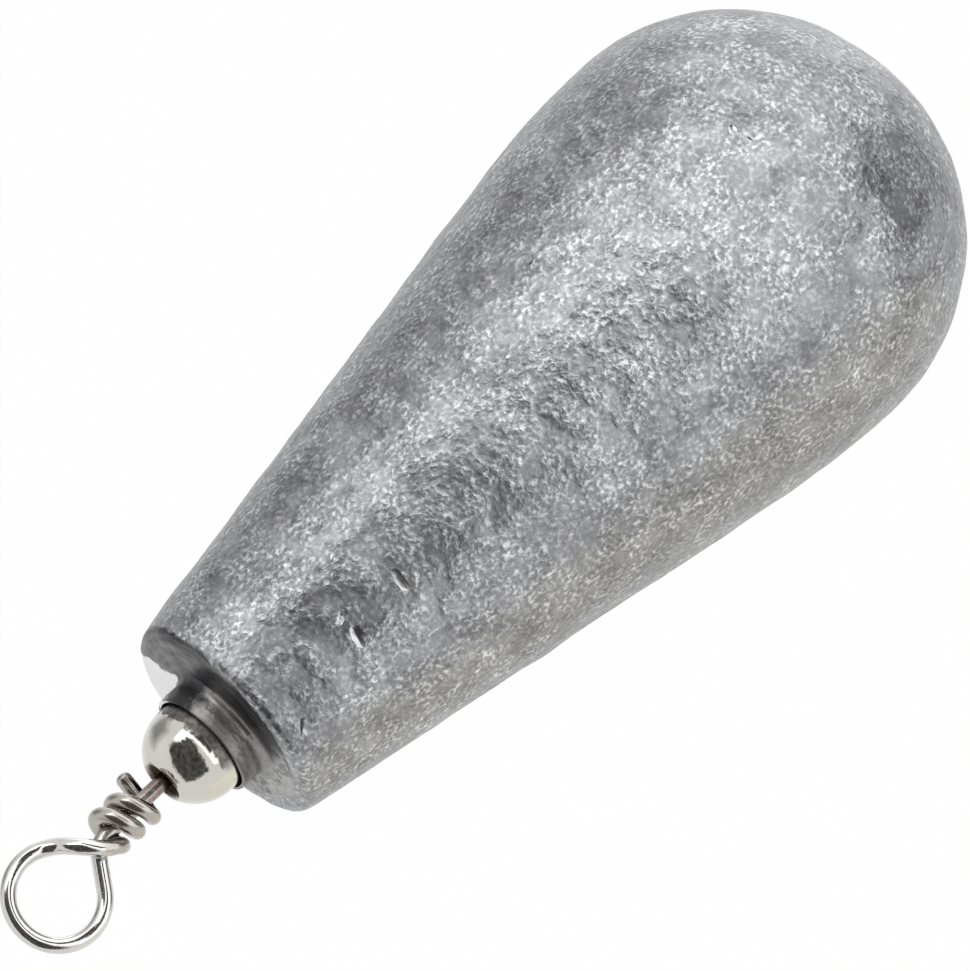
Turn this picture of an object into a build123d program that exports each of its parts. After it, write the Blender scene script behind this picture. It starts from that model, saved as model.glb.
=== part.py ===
from build123d import *
import math
import os

# Pear-shaped lead sinker that hangs from a barrel swivel, cast into its narrow end.
# Frame: millimetres, +Z up along the swivel axis, origin in the line loop at the height of its centre.

# Wire eye, the same for the line eye and the anchor eye
wire_diameter = 0.75
loop_radius = 2.17          # to the middle of the wire
loop_offset = 0.48          # from the swivel axis to the loop's centre, towards -X
leg_angle = 55.0            # lean of the leg between stem and loop, in degrees
leg_bend_radius = 1.2
loop_exit_angle = 20.0      # below level, where the wire leaves the loop's plane, in degrees
crossing_rise = 0.56        # front strand over the corner of leg and stem, where it crosses them
crossing_slope = 42.0       # in degrees
crossing_gap = 0.2          # clear space between that strand and the stem
wrap_start_gap = 0.15       # from the leg's bend down to the start of the wraps
wrap_turns = 2
wrap_spacing = 0.21         # clear space between one wrap and the next
wrap_lean = 0.2             # the wraps stand this much higher at +X than level, and lower at -X
wrap_gap = 0.07             # clear space between wraps and stem
tail_drop = 0.35            # fall of the last quarter turn
tail_slope = 5.0            # in degrees
tail_length = 1.5
tail_round = 0.12
stem_show = 0.52            # bare stem between the tail and the barrel
head_thickness = 0.75
head_round = 0.25
head_side_gap = 0.2         # clear space round the head, inside the barrel

# Swivel barrel
barrel_diameter = 4.64
barrel_length = 8.4         # from mouth to mouth
barrel_wall = 0.45
mouth_diameter = 2.1
mouth_round = 0.12
funnel_depth = 0.75
throat_length = 0.3
throat_gap = 0.08           # running clearance round the stem
head_gap = 0.06             # running clearance between head and end wall

# Lead casting
bulb_diameter = 20.4
lead_length = 42.7
end_face_diameter = 10.46
nose_angle = 31.5           # half angle of the flatter nose cap, in degrees
shoulder_offset = 0.37      # centre of the shoulder arc, off the axis
flank_radius = 41.3
rim_round = 0.5
barrel_stand = 3.84         # how far the barrel stands out of the end face
collar_height = 1.0
collar_wall = 0.16
collar_foot_round = 0.4
collar_top_round = 0.06
crevice_width = 0.14        # open groove between collar and barrel
crevice_depth = 0.6
cast_gap = 0.02             # shrinkage gap between the lead and what it is cast round

gap_samples = 20            # points per wire diameter that the wire's self-gap is measured on

# Worked-out sizes of the wire eye
wire_radius = wire_diameter / 2
wrap_radius = wire_diameter + wrap_gap
wrap_pitch = wire_diameter + wrap_spacing
crossing_radius = wire_diameter + crossing_gap
leg_sine = math.sin(math.radians(leg_angle))
leg_cosine = math.cos(math.radians(leg_angle))
leg_run = (loop_offset + loop_radius * leg_cosine) / leg_sine
corner_z = -loop_radius * leg_sine - leg_run * leg_cosine
bend_reach = leg_bend_radius * math.tan(math.radians(leg_angle / 2))
wrap_start_z = corner_z - bend_reach - wrap_start_gap
tail_foot_z = wrap_start_z - wrap_pitch * wrap_turns - tail_drop
tail_fall = math.radians(tail_slope)
tail_end_z = tail_foot_z - tail_length * math.sin(tail_fall)

# Worked-out sizes of the barrel
barrel_radius = barrel_diameter / 2
barrel_half = barrel_length / 2
barrel_top_z = tail_end_z - wire_radius - stem_show
barrel_middle_z = barrel_top_z - barrel_half
mouth_radius = mouth_diameter / 2
throat_radius = wire_radius + throat_gap
dome_half = barrel_half - math.sqrt(barrel_radius**2 - mouth_radius**2)
cavity_half = barrel_half - funnel_depth - throat_length
cavity_radius = barrel_radius - barrel_wall
roof_radius = math.sqrt(cavity_radius**2 - (cavity_half - dome_half)**2)
head_radius = roof_radius - head_side_gap
head_middle_z = barrel_middle_z + cavity_half - head_gap - head_thickness / 2

# Worked-out sizes of the casting
bulb_radius = bulb_diameter / 2
end_face_radius = end_face_diameter / 2
end_face_z = barrel_top_z - barrel_stand
collar_top_z = end_face_z + collar_height
nose_z = end_face_z - lead_length


def on_circle(radius, degrees):
    """Point of a circle round the origin, in the plane of its two coordinates."""
    turn = math.radians(degrees)
    return radius * math.cos(turn), radius * math.sin(turn)


def biarc(start, start_way, end, end_way):
    """Two arcs from start to end that leave and arrive along the two unit directions."""
    chord = end - start
    ways = start_way + end_way
    spread = 1 - start_way.dot(end_way)
    along = chord.dot(ways)
    reach = (math.sqrt(along**2 + 2 * spread * chord.dot(chord)) - along) / (2 * spread)
    middle = (start + start_way * reach + end - end_way * reach) / 2
    first = TangentArc(start, middle, tangent=start_way)
    return [first, TangentArc(middle, end, tangent=first % 1)]


def wrap_point(quarter):
    """Middle of the wire and its direction, so many quarter turns after the start of the wraps."""
    degrees = -180 - 90 * quarter
    x, y = on_circle(wrap_radius, degrees)
    lean_x, lean_y = on_circle(wrap_lean, degrees)
    z = wrap_start_z - wrap_pitch * quarter / 4 + wrap_lean + lean_x
    fall = wrap_pitch / (2 * math.pi) - lean_y
    return Vector(x, y, z), Vector(y, -x, -fall).normalized()


def wire_path():
    """Line of the wire's middle, from the stem's foot through loop, crossing and wraps to the tail."""
    leg_way = Vector(-leg_sine, 0, leg_cosine)
    corner = Vector(0, 0, corner_z)
    bend_start = corner - Vector(0, 0, bend_reach)
    bend_end = corner + leg_way * bend_reach
    leg_top = corner + leg_way * leg_run
    stem_foot = Vector(0, 0, head_middle_z)

    loop_centre = Vector(-loop_offset, 0, 0)
    loop_top = loop_centre + Vector(0, 0, loop_radius)
    exit_x, exit_z = on_circle(loop_radius, -loop_exit_angle)
    loop_exit = loop_centre + Vector(exit_x, 0, exit_z)
    exit_way = Vector(exit_z, 0, -exit_x).normalized()

    slope = math.radians(crossing_slope)
    crossing = Vector(0, -crossing_radius, corner_z + crossing_rise)
    crossing_way = Vector(-math.cos(slope), 0, -math.sin(slope))

    turns = [wrap_point(quarter) for quarter in range(4 * wrap_turns + 1)]
    tail_foot = Vector(0, wrap_radius, tail_foot_z)
    tail_way = Vector(math.cos(tail_fall), 0, -math.sin(tail_fall))

    path = [
        Line(stem_foot, bend_start),
        TangentArc(bend_start, bend_end, tangent=(0, 0, 1)),
        Line(bend_end, leg_top),
        ThreePointArc(leg_top, loop_top, loop_exit),
    ]
    path += biarc(loop_exit, exit_way, crossing, crossing_way)
    path += biarc(crossing, crossing_way, *turns[0])
    for (start, start_way), (end, end_way) in zip(turns, turns[1:]):
        path += biarc(start, start_way, end, end_way)
    path += biarc(*turns[-1], tail_foot, tail_way)
    path.append(Line(tail_foot, tail_foot + tail_way * tail_length))
    return path


def swept_wire(path, radius):
    """Round wire of one radius along the path."""
    section = Plane(path[0] @ 0, z_dir=path[0] % 0) * Circle(radius)
    return sweep(section, path=Wire(path))


def least_self_gap(path):
    """Least clear space between stretches of the wire that aren't neighbours along it."""
    points = []
    run = 0.0
    for edge in path:
        steps = max(2, round(edge.length / wire_diameter * gap_samples))
        points += [(run + edge.length * i / steps, edge @ (i / steps)) for i in range(steps)]
        run += edge.length
    apart = math.pi * wire_diameter
    return min(
        (q - p).length - wire_diameter
        for i, (at_p, p) in enumerate(points)
        for at_q, q in points[i + 1:]
        if at_q - at_p > apart
    )


def eye_head():
    """Upset head that keeps the stem in the barrel."""
    head = Pos(0, 0, head_middle_z) * Cylinder(head_radius, head_thickness)
    lower_edge = head.edges().filter_by(GeomType.CIRCLE).sort_by(Axis.Z)[0]
    return fillet(lower_edge, head_round)


def line_eye(path):
    """Upper eye: the wound wire with its head."""
    wire = swept_wire(path, wire_radius)
    tail_end = path[-1] @ 1
    end_edge = wire.edges().filter_by(GeomType.CIRCLE).sort_by_distance(tail_end)[0]
    return fillet(end_edge, tail_round) + eye_head()


def turned_over(eye):
    """The same eye at the barrel's other end, upside down."""
    return Pos(0, 0, 2 * barrel_middle_z) * (Rot(180, 0, 0) * eye)


def barrel_envelope(growth):
    """Solid inside the barrel's outer faces, its funnel mouths left open, grown all over."""
    outer = barrel_radius + growth
    mouth = mouth_radius - growth
    throat = throat_radius - growth
    mouth_z = dome_half + math.sqrt(outer**2 - mouth**2)
    floor_z = barrel_half - funnel_depth + growth
    bow_x, bow_z = on_circle(outer, 45 - math.degrees(math.asin(mouth / outer)) / 2)
    outline = Curve() + [
        Line((0, 0), (outer, 0)),
        Line((outer, 0), (outer, dome_half)),
        ThreePointArc((outer, dome_half), (bow_x, dome_half + bow_z), (mouth, mouth_z)),
        Line((mouth, mouth_z), (throat, floor_z)),
        Line((throat, floor_z), (0, floor_z)),
        Line((0, floor_z), (0, 0)),
    ]
    section = make_face(outline)
    rim = section.vertices().sort_by_distance((mouth, mouth_z))[0]
    return both_ends(fillet(rim, mouth_round))


def both_ends(section):
    """Round solid of a half section and its mirror image, in the barrel's place."""
    half = revolve(Plane.XZ * section, Axis.Z)
    return Pos(0, 0, barrel_middle_z) * (half + mirror(half, about=Plane.XY))


def swivel_barrel():
    """Turned barrel: a shell with a throat at each end for a stem."""
    roof_turn = math.degrees(math.asin(roof_radius / cavity_radius))
    bow_x, bow_z = on_circle(cavity_radius, 45 - roof_turn / 2)
    outline = Curve() + [
        Line((0, 0), (cavity_radius, 0)),
        Line((cavity_radius, 0), (cavity_radius, dome_half)),
        ThreePointArc((cavity_radius, dome_half), (bow_x, dome_half + bow_z), (roof_radius, cavity_half)),
        Line((roof_radius, cavity_half), (0, cavity_half)),
        Line((0, cavity_half), (0, 0)),
    ]
    throats = Pos(0, 0, barrel_middle_z) * Cylinder(throat_radius, barrel_length)
    return barrel_envelope(0) - both_ends(make_face(outline)) - throats


def lead_blank():
    """Outside of the casting, with its collar and the groove inside the collar, still solid."""
    cap_turn = math.radians(nose_angle)
    shoulder_radius = bulb_radius - shoulder_offset
    nose_radius = shoulder_radius + shoulder_offset / math.sin(cap_turn)
    nose_centre_z = nose_z + nose_radius
    widest_z = nose_centre_z - shoulder_offset / math.tan(cap_turn)

    # the straight cone runs from the end face's rim and touches the flank arc
    flank_centre_x = bulb_radius - flank_radius
    rim_x = end_face_radius - flank_centre_x
    rim_z = end_face_z - widest_z
    touch = math.degrees(math.atan2(rim_z, rim_x) - math.acos(flank_radius / math.hypot(rim_x, rim_z)))
    flank_x, flank_z = on_circle(flank_radius, touch)
    bow_x, bow_z = on_circle(flank_radius, touch / 2)
    cap_x, cap_z = on_circle(nose_radius, nose_angle - 90)
    mid_cap_x, mid_cap_z = on_circle(nose_radius, nose_angle / 2 - 90)
    full_x, full_z = on_circle(shoulder_radius, nose_angle / 2 - 45)

    cap_end = (cap_x, nose_centre_z + cap_z)
    widest = (bulb_radius, widest_z)
    flank_end = (flank_centre_x + flank_x, widest_z + flank_z)
    rim = (end_face_radius, end_face_z)
    groove_x = barrel_radius + crevice_width
    collar_foot = (groove_x + collar_wall, end_face_z)
    collar_top = (groove_x + collar_wall, collar_top_z)
    groove_floor = (barrel_radius + cast_gap, collar_top_z - crevice_depth)

    outline = Curve() + [
        ThreePointArc((0, nose_z), (mid_cap_x, nose_centre_z + mid_cap_z), cap_end),
        ThreePointArc(cap_end, (shoulder_offset + full_x, widest_z + full_z), widest),
        ThreePointArc(widest, (flank_centre_x + bow_x, widest_z + bow_z), flank_end),
        Line(flank_end, rim),
        Line(rim, collar_foot),
        Line(collar_foot, collar_top),
        Line(collar_top, (groove_x, collar_top_z)),
        Line((groove_x, collar_top_z), groove_floor),
        Line(groove_floor, (0, groove_floor[1])),
        Line((0, groove_floor[1]), (0, nose_z)),
    ]
    section = make_face(outline)
    for corner, radius in ((rim, rim_round), (collar_foot, collar_foot_round), (collar_top, collar_top_round)):
        section = fillet(section.vertices().sort_by_distance(corner)[0], radius)
    return revolve(Plane.XZ * section, Axis.Z)


def sinker_body(path):
    """Lead casting, hollow where the barrel and the anchor eye lie in it."""
    anchor_space = turned_over(swept_wire(path, wire_radius + cast_gap))
    return lead_blank() - barrel_envelope(cast_gap) - anchor_space


def main():
    """Build every piece and write it to its own file."""
    path = wire_path()
    upper_eye = line_eye(path)
    pieces = {
        "sinker_body": sinker_body(path),
        "swivel_barrel": swivel_barrel(),
        "line_eye": upper_eye,
        "anchor_eye": turned_over(upper_eye),
    }
    os.makedirs("parts", exist_ok=True)
    for name, piece in pieces.items():
        export_step(piece, f"parts/{name}.step")
    wire_length = sum(edge.length for edge in path)
    tightest = min(edge.radius for edge in path if edge.geom_type == GeomType.CIRCLE)
    print(f"wire length {wire_length:.2f}, tightest bend {tightest:.2f}, self-gap {least_self_gap(path):.3f}")


main()
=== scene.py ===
"""Looks of a cast lead fishing sinker on a barrel swivel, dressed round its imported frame."""
import logging
import math
from collections.abc import Callable
from dataclasses import dataclass
from enum import Enum

import bpy
from mathutils import Matrix, Quaternion, Vector


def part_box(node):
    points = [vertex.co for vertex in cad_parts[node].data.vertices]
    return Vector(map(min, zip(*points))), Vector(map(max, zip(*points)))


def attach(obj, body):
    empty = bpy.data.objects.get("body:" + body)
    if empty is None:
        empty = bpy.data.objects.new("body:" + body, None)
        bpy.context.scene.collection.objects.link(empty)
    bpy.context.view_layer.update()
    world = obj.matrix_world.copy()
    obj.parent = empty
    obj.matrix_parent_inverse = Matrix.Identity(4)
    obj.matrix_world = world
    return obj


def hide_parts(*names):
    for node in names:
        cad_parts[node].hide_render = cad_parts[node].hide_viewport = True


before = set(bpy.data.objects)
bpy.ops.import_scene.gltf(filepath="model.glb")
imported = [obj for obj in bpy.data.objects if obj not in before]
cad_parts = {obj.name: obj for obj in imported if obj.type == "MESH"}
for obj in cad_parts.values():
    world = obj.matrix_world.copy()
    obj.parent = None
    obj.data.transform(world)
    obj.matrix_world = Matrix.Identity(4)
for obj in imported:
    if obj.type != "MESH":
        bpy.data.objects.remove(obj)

MM = 0.001  # metres in a millimetre
WELD = 1e-8  # points nearer than this are welded, in metres
CREASE = 40.0  # edges sharper than this stay sharp, in degrees
LONG_STEP = 1.0  # longest edge of a hidden or plain outline, in millimetres
NOISE_SPREAD = (0.3, 0.7)  # where most values of a noise lie
Socket = bpy.types.NodeSocket
Finish = bpy.types.Material
Piece = bpy.types.Object
log = logging.getLogger("sinker")


class Body(Enum):
    """Bodies of the part that pieces ride on."""

    EYE = "eye"
    SINKER = "sinker"


class Node(Enum):
    """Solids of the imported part."""

    LEAD = "sinker_body"
    BARREL = "swivel_barrel"
    LINE_EYE = "line_eye"
    ANCHOR_EYE = "anchor_eye"


class Slot(Enum):
    """Material slots of the part's record."""

    LEAD = "lead"
    BARREL = "barrel_plating"
    WIRE = "eye_wire"


class Shaping(Enum):
    """What is done to a piece with a tool's shape."""

    CUT_OUT = "DIFFERENCE"
    JOIN_ON = "UNION"


class Dent(Enum):
    """Kinds of dent in the lead, by the number of their flanks."""

    GOUGE = 4
    SMALL_PIT = 10
    PIT = 14


class Graph:
    """Node tree of one material or world, with short ways to add and link nodes."""

    def __init__(self, owner: bpy.types.ID) -> None:
        """Empty the owner's node tree.

        Args:
            owner: The material or world that the tree belongs to.
        """
        owner.use_nodes = True
        self.tree = owner.node_tree
        self.tree.nodes.clear()

    def node(self, kind: str, inputs: dict | None = None, **settings: object) -> bpy.types.Node:
        """Add a node, set it and feed its inputs.

        Args:
            kind: Blender's name of the node type.
            inputs: Values or output sockets, by input name or number.
            **settings: Properties of the node itself.

        Returns:
            The new node.
        """
        made = self.tree.nodes.new(kind)
        for key, value in settings.items():
            setattr(made, key, value)
        for key, value in (inputs or {}).items():
            if isinstance(value, Socket):
                self.tree.links.new(value, made.inputs[key])
            else:
                made.inputs[key].default_value = value
        return made

    def millimetres(self) -> Socket:
        """Object coordinates in millimetres.

        Returns:
            The coordinates.
        """
        place = self.node("ShaderNodeTexCoord").outputs["Object"]
        scale = (1 / MM, 1 / MM, 1 / MM)
        return self.node("ShaderNodeMapping", {"Vector": place, "Scale": scale}).outputs[0]

    def noise(self, place: Socket, size: float, detail: float = 2.0, roughness: float = 0.5,
              curl: float = 0.0) -> Socket:
        """Cloudy noise from 0 to 1.

        Args:
            place: Coordinates.
            size: Size of its blots, in the coordinates' units.
            detail: Number of finer layers.
            roughness: Weight of the finer layers.
            curl: How far the blots are curled.

        Returns:
            The noise's value socket.
        """
        inputs = {"Vector": place, "Scale": 1 / size, "Detail": detail, "Roughness": roughness,
                  "Distortion": curl}
        return self.node("ShaderNodeTexNoise", inputs).outputs[0]

    def math(self, operation: str, first: object, second: object = 0.0) -> Socket:
        """Result of Blender's operation of that name on values or sockets."""
        return self.node("ShaderNodeMath", {0: first, 1: second}, operation=operation).outputs[0]

    def plus(self, first: object, second: object) -> Socket:
        """Sum of values or sockets."""
        return self.math("ADD", first, second)

    def times(self, first: object, second: object) -> Socket:
        """Product of values or sockets."""
        return self.math("MULTIPLY", first, second)

    def range(self, value: Socket, low: float, high: float, to_low: float = 0.0,
              to_high: float = 1.0) -> Socket:
        """Value stretched from one range to another and held at its ends."""
        inputs = {"Value": value, 1: low, 2: high, 3: to_low, 4: to_high}
        return self.node("ShaderNodeMapRange", inputs).outputs[0]

    def swell(self, noise: Socket, to_low: float = 0.0, to_high: float = 1.0) -> Socket:
        """Noise stretched from its usual spread to a range."""
        return self.range(noise, *NOISE_SPREAD, to_low, to_high)

    def blend(self, share: object, first: object, second: object) -> Socket:
        """Mix of two colours, values or sockets, with this share of the second."""
        inputs = {0: share, 6: first, 7: second}
        return self.node("ShaderNodeMix", inputs, data_type="RGBA").outputs[2]

    def parts(self, place: Socket) -> tuple:
        """X, Y and Z sockets of a place."""
        return tuple(self.node("ShaderNodeSeparateXYZ", {0: place}).outputs)

    def radius(self, place: Socket) -> Socket:
        """Distance of a place from the swivel axis."""
        x, y, _ = self.parts(place)
        return self.math("SQRT", self.plus(self.times(x, x), self.times(y, y)))

    def girth(self, place: Socket, stretch: float) -> Socket:
        """Coordinates round the swivel axis, off it and along it.

        Args:
            place: Coordinates in millimetres.
            stretch: How many times longer than wide a pattern's blots lie round the axis.

        Returns:
            The coordinates, in millimetres.
        """
        x, y, z = self.parts(place)
        radius = self.radius(place)
        turn = self.math("ARCTAN2", x, self.times(y, -1.0))
        run = self.times(self.times(turn, radius), 1 / stretch)
        return self.node("ShaderNodeCombineXYZ", {0: run, 1: radius, 2: z}).outputs[0]

    def metal(self, colour: Socket, roughness: Socket, height: Socket, depth: float) -> None:
        """Finish the tree with a bare metal surface.

        Args:
            colour: Its colour.
            roughness: Its roughness.
            height: Heights of its relief, from 0 to 1.
            depth: Depth of its relief, in millimetres.
        """
        relief = self.node("ShaderNodeBump", {"Height": height, "Distance": depth * MM, "Strength": 1.0})
        inputs = {"Base Color": colour, "Metallic": 1.0, "Roughness": roughness, "Normal": relief.outputs[0]}
        shader = self.node("ShaderNodeBsdfPrincipled", inputs)
        self.node("ShaderNodeOutputMaterial", {"Surface": shader.outputs[0]})


def begin(name: str) -> tuple[Finish, Graph, Socket]:
    """Start a material.

    Args:
        name: Its name.

    Returns:
        The material, its empty tree, and coordinates in millimetres.
    """
    made = bpy.data.materials.new(name)
    graph = Graph(made)
    return made, graph, graph.millimetres()


@dataclass(frozen=True)
class CastLead:
    """Bare cast lead: a grained grey skin with calm patches and grain crests painted bright as glints, and
    an end face painted dark as shade, with a painted highlight patch.

    Sizes and places are in millimetres, and a pair is where a change starts and ends.
    """

    # Grain colours: the hollow one darkens the grain's low spots, and the crest one is a painted glint on
    # its high spots.
    hollow: tuple = (0.18, 0.18, 0.19, 1)
    ground: tuple = (0.288, 0.29, 0.303, 1)
    painted_glint: tuple = (0.66, 0.66, 0.67, 1)
    # End colours: the dark and grey ones are painted shade over the end face, the pale and light pair are a
    # painted lighter side, and the bright one is a painted highlight.
    end_painted_shade: tuple = (0.055, 0.055, 0.058, 1)
    end_painted_shade_grey: tuple = (0.15, 0.15, 0.153, 1)
    end_lit_side_dark: tuple = (0.27, 0.27, 0.265, 1)
    end_lit_side_light: tuple = (0.42, 0.42, 0.41, 1)
    end_painted_highlight: tuple = (0.74, 0.74, 0.74, 1)
    collar_dull: tuple = (0.17, 0.168, 0.163, 1)
    collar_light: tuple = (0.29, 0.285, 0.276, 1)
    grain_size: float = 0.205
    grain_depth: float = 0.05
    grain_curl: float = 0.35
    glint_grain: tuple = (0.51, 0.70)
    pit_grain: tuple = (0.30, 0.48)
    dimple_size: float = 0.9
    dimple_share: float = 1.4
    patch_size: float = 1.2
    patch_edge: tuple = (0.38, 0.56)
    calm_share: float = 0.35
    mottle_size: float = 2.2
    mottle_tone: tuple = (0.63, 1.35)
    roughness: tuple = (0.3, 0.46)
    end_face_z: float = -10.896
    end_radius: float = 5.23
    end_relief: float = 0.4
    end_blot: float = 0.7
    end_ragged: float = 0.5
    # Where the end colours, with their painted shade, start on the rim's rounding.
    rim_slant: float = 0.15
    rim_edge: tuple = (0.2, 0.35)
    rim_blot: float = 0.5
    rim_ragged: float = 0.12
    streak_stretch: float = 6.0
    streak_size: float = 0.3
    streak_edge: tuple = (0.35, 0.65)
    # The bright corner is a painted highlight, the pale side is painted light with a band of painted shade
    # in it, and the collar's shade side is painted shade.
    highlight_slope: float = 0.9
    highlight_back: tuple = (-2.7, -2.45)
    highlight_side: tuple = (2.3, 2.55)
    painted_lit_side: tuple = (-3.0, -2.2)
    shade_band_x: float = -3.25
    shade_band_edge: tuple = (0.1, 0.3)
    shade_band_share: float = 0.3
    shade_side: tuple = (1.4, 1.8)
    collar_edge: tuple = (3.0, 3.2)

    def end_painted_light(self, graph: Graph, place: Socket) -> Socket:
        """Colour of the end face, painted light: painted shade over its streaks, a painted lighter side, a
        painted highlight in one corner, and painted shade on one side of the collar.

        Args:
            graph: The material's tree.
            place: Coordinates in millimetres.

        Returns:
            The colour socket.
        """
        x, y, _ = graph.parts(place)
        blots = graph.noise(place, self.end_blot, 3, 0.6)
        ragged = graph.swell(blots, -self.end_ragged, self.end_ragged)
        across = graph.plus(x, ragged)
        # Painted highlight in the far corner of the end face.
        slope = graph.times(x, self.highlight_slope)
        back = graph.math("SUBTRACT", graph.plus(y, ragged), slope)
        in_corner = graph.range(across, *self.highlight_side)
        bright = graph.times(graph.range(back, *self.highlight_back), in_corner)
        round_axis = graph.girth(place, self.streak_stretch)
        streak = graph.range(graph.noise(round_axis, self.streak_size, 3, 0.6), *self.streak_edge)
        # Painted lighter side, cut by a band of painted shade, over a face painted dark as shade.
        off_band = graph.math("ABSOLUTE", graph.math("SUBTRACT", across, self.shade_band_x))
        clear = graph.range(off_band, *self.shade_band_edge, self.shade_band_share, 1)
        pale = graph.times(graph.range(across, *self.painted_lit_side, 1, 0), clear)
        dark = graph.blend(pale, self.end_painted_shade, self.end_lit_side_dark)
        face = graph.blend(streak, dark, graph.blend(pale, self.end_painted_shade_grey, self.end_lit_side_light))
        # Collar streaks, with painted shade on one side.
        collar = graph.blend(streak, self.collar_dull, self.collar_light)
        collar = graph.blend(graph.range(across, *self.shade_side), collar, self.end_painted_shade)
        near = graph.range(graph.radius(place), *self.collar_edge, 1, 0)
        return graph.blend(bright, graph.blend(near, face, collar), self.end_painted_highlight)

    def material(self) -> Finish:
        """Make the finish of the lead.

        Returns:
            The material.
        """
        made, graph, place = begin("cast_lead")
        x, _, z = graph.parts(place)
        grain = graph.noise(place, self.grain_size, 2, 0.5, self.grain_curl)
        dimples = graph.noise(place, self.dimple_size, 1)
        mottle = graph.noise(place, self.mottle_size, 3, 0.7)
        lively = graph.range(graph.noise(place, self.patch_size), *self.patch_edge, self.calm_share, 1)
        # Painted glints: the grain's high spots, where the relief rises, are coloured bright.
        glint = graph.times(graph.range(grain, *self.glint_grain), lively)
        pit = graph.times(graph.range(grain, *self.pit_grain, 1, 0), lively)
        skin = graph.blend(glint, graph.blend(pit, self.ground, self.hollow), self.painted_glint)
        tone = graph.swell(mottle, *self.mottle_tone)
        toned = graph.node("ShaderNodeVectorMath", {0: skin, 1: tone}, operation="MULTIPLY").outputs[0]
        # Rim line where the painted end colours take over, a little way down the rounding.
        ragged = graph.swell(graph.noise(place, self.rim_blot), -self.rim_ragged, self.rim_ragged)
        rise = graph.math("SUBTRACT", z, graph.radius(place))
        past_rim = graph.plus(rise, self.end_radius - self.end_face_z)
        slanted = graph.plus(past_rim, graph.times(x, self.rim_slant))
        on_end = graph.range(graph.plus(slanted, ragged), *self.rim_edge)
        height = graph.plus(grain, graph.times(dimples, self.dimple_share))
        depth = graph.times(lively, graph.range(on_end, 0, 1, 1, self.end_relief))
        # The end face and rim take the painted shade and highlight of the end colours.
        colour = graph.blend(on_end, toned, self.end_painted_light(graph, place))
        relief = graph.times(height, depth)
        graph.metal(colour, graph.swell(mottle, *self.roughness), relief, self.grain_depth)
        return made


@dataclass(frozen=True)
class NickedLead:
    """Bare lead in the flanks of a nick, smoother and brighter than the skin."""

    dull: tuple = (0.34, 0.34, 0.35, 1)
    bright: tuple = (0.70, 0.70, 0.70, 1)
    scrape_stretch: float = 4.0
    scrape_size: float = 0.12
    scrape_depth: float = 0.012
    roughness: tuple = (0.2, 0.36)

    def material(self) -> Finish:
        """Make the finish of the nicks.

        Returns:
            The material.
        """
        made, graph, place = begin("nicked_lead")
        scrape = graph.noise(graph.girth(place, self.scrape_stretch), self.scrape_size)
        colour = graph.blend(graph.swell(scrape), self.dull, self.bright)
        graph.metal(colour, graph.swell(scrape, *self.roughness), scrape, self.scrape_depth)
        return made


@dataclass(frozen=True)
class BrightNickel:
    """Bright nickel plating on the barrel, darker inside its mouths, with painted shade along the crevice by
    the lead on one side.
    """

    colour: tuple = (0.55, 0.53, 0.49, 1)
    worn: tuple = (0.66, 0.64, 0.60, 1)
    # The mouth colour darkens the insides of the mouths, and the crevice colours are painted shade along the
    # lead's collar.
    mouth_dark: tuple = (0.045, 0.03, 0.02, 1)
    crevice_shade: tuple = (0.03, 0.029, 0.027, 1)
    crevice_shade_light: tuple = (0.13, 0.127, 0.12, 1)
    cloud_size: float = 0.9
    blot_size: float = 0.5
    mouth_edge: tuple = (0.89, 1.07)
    mouth_ragged: float = 0.015
    crevice_shade_edge: tuple = (-9.06, -8.94)
    crevice_shade_side: tuple = (-1.8, -1.2)
    crevice_shade_ragged: float = 0.2
    crevice_shade_share: float = 0.9
    crevice_shade_blot: float = 0.2
    crevice_shade_spread: tuple = (0.35, 0.65)
    darkened_roughness: float = 0.3
    roughness: tuple = (0.06, 0.13)
    ripple_size: float = 0.3
    ripple_depth: float = 0.004

    def material(self) -> Finish:
        """Make the finish of the barrel.

        Returns:
            The material.
        """
        made, graph, place = begin("bright_nickel")
        x, _, z = graph.parts(place)
        cloud = graph.noise(place, self.cloud_size, 3, 0.6)
        plating = graph.blend(cloud, self.colour, self.worn)
        blots = graph.noise(place, self.blot_size)
        wobble = graph.swell(blots, -self.mouth_ragged, self.mouth_ragged)
        # Darker inside the mouths, where the radius is small.
        darker_mouth = graph.range(graph.plus(graph.radius(place), wobble), *self.mouth_edge, 1, 0)
        # Painted shade: a dark band by the crevice with the lead, on one side only.
        line = graph.plus(z, graph.swell(blots, -self.crevice_shade_ragged, self.crevice_shade_ragged))
        low = graph.range(line, *self.crevice_shade_edge, self.crevice_shade_share, 0)
        crevice_shaded = graph.times(low, graph.range(x, *self.crevice_shade_side))
        mottle = graph.range(graph.noise(place, self.crevice_shade_blot), *self.crevice_shade_spread)
        crevice_shade = graph.blend(mottle, self.crevice_shade, self.crevice_shade_light)
        # Rougher where the mouths are darker and where the crevice shade is painted.
        roughened = graph.times(graph.plus(darker_mouth, crevice_shaded), self.darkened_roughness)
        colour = graph.blend(darker_mouth, graph.blend(crevice_shaded, plating, crevice_shade), self.mouth_dark)
        roughness = graph.plus(graph.swell(cloud, *self.roughness), roughened)
        graph.metal(colour, roughness, graph.noise(place, self.ripple_size), self.ripple_depth)
        return made


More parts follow.
